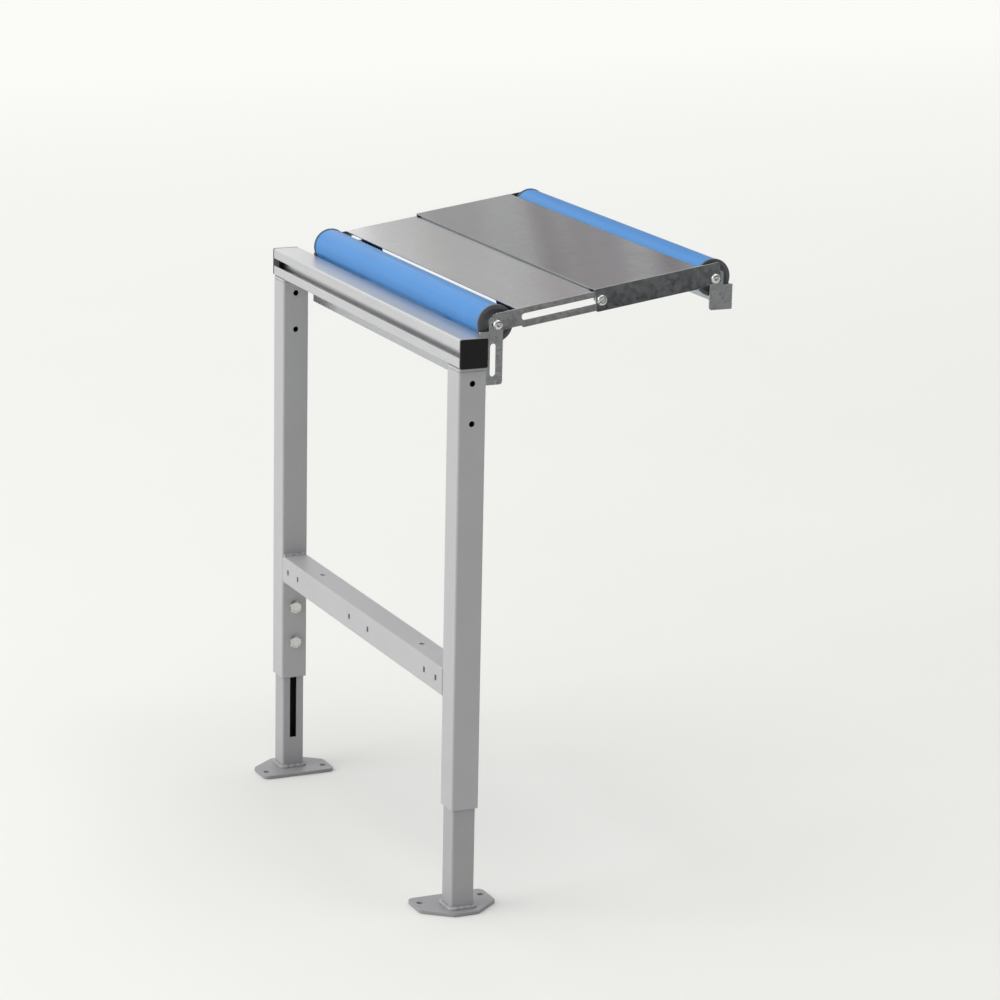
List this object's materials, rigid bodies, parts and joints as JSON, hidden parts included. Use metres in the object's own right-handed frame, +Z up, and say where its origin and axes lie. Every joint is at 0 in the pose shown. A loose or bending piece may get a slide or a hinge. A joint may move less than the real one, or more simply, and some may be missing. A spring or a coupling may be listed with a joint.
{
  "type": "gravity roller transfer deck",
  "caption": "Gravity roller conveyor section: telescoping sheet deck between two idler rollers, on a height-adjustable two-leg stand, with a cradle that fixes to a bench edge.",
  "frame": {"origin": "on the floor, midway between the two foot plates and on the legs' centre plane", "axes": "+Z up, +X from the stand towards the bench, +Y along the rollers from the front leg to the rear leg"},
  "size_m": [0.4552, 0.71, 0.888],
  "materials": {
    "powder_coat": "light grey powder coat, satin",
    "anodised_aluminium": "natural anodised extrusion",
    "black_plastic": "black moulded plastic",
    "galvanised_sheet": "galvanised sheet, fine spangle",
    "zinc_plate": "bright zinc plate",
    "bright_steel": "ground bright steel",
    "roller_tube": "light blue extruded plastic",
    "roller_end": "dark grey moulded plastic"
  },
  "bodies": {
    "feet": {"foot_plate_front": "powder_coat", "foot_plate_rear": "powder_coat", "inner_leg_front": "powder_coat", "inner_leg_rear": "powder_coat"},
    "stand": {"outer_leg_front": "powder_coat", "outer_leg_rear": "powder_coat", "leg_top_plate_front": "powder_coat", "leg_top_plate_rear": "powder_coat", "crossbar": "powder_coat", "top_beam": "anodised_aluminium", "beam_end_cap_front": "black_plastic", "beam_end_cap_rear": "black_plastic", "clamp_bolt_front_lower": "zinc_plate", "clamp_bolt_front_upper": "zinc_plate", "clamp_bolt_rear_lower": "zinc_plate", "clamp_bolt_rear_upper": "zinc_plate", "clamp_plate_front": "zinc_plate", "clamp_plate_rear": "zinc_plate", "beam_screw_front": "zinc_plate", "beam_screw_rear": "zinc_plate", "beam_nut_front": "zinc_plate", "beam_nut_rear": "zinc_plate", "stand_cradle": "galvanised_sheet", "cradle_screw_front": "zinc_plate", "cradle_screw_rear": "zinc_plate", "cradle_nut_front": "zinc_plate", "cradle_nut_rear": "zinc_plate", "lower_axle": "bright_steel", "lower_axle_screw_front": "zinc_plate", "lower_axle_screw_rear": "zinc_plate"},
    "roller_lower": {"lower_roller_tube": "roller_tube", "lower_roller_end_front": "roller_end", "lower_roller_end_rear": "roller_end", "lower_bearing_front": "bright_steel", "lower_bearing_rear": "bright_steel"},
    "deck_lower": {"lower_deck_sheet": "galvanised_sheet"},
    "deck_upper": {"upper_deck_sheet": "galvanised_sheet", "lock_screw_front": "zinc_plate", "lock_screw_rear": "zinc_plate", "lock_nut_front": "zinc_plate", "lock_nut_rear": "zinc_plate", "upper_axle": "bright_steel", "upper_axle_screw_front": "zinc_plate", "upper_axle_screw_rear": "zinc_plate"},
    "roller_upper": {"upper_roller_tube": "roller_tube", "upper_roller_end_front": "roller_end", "upper_roller_end_rear": "roller_end", "upper_bearing_front": "bright_steel", "upper_bearing_rear": "bright_steel"},
    "bench_hook": {"bench_cradle": "galvanised_sheet"}
  },
  "joints": [
    {"name": "height_adjust", "type": "slide", "parent": "feet", "child": "stand", "axis": [0, 0, 1], "range_m": [-0.12, 0.16]},
    {"name": "roller_lower_spin", "type": "hinge", "parent": "stand", "child": "roller_lower", "pos_m": [0.045, -0.016, 0.8195], "axis": [0, 1, 0], "continuous": true},
    {"name": "deck_tilt", "type": "hinge", "parent": "stand", "child": "deck_lower", "pos_m": [0.045, -0.016, 0.8195], "axis": [0, -1, 0], "range_deg": [-75, 45]},
    {"name": "deck_extend", "type": "slide", "parent": "deck_lower", "child": "deck_upper", "axis": [0.9903, 0, 0.1392], "range_m": [-0.1, 0.03]},
    {"name": "roller_upper_spin", "type": "hinge", "parent": "deck_upper", "child": "roller_upper", "pos_m": [0.36923, -0.016, 0.86204], "axis": [0, 1, 0], "continuous": true},
    {"name": "hook_tilt", "type": "hinge", "parent": "deck_upper", "child": "bench_hook", "pos_m": [0.36923, -0.016, 0.86204], "axis": [0, -1, 0], "range_deg": [-40, 40]}
  ]
}
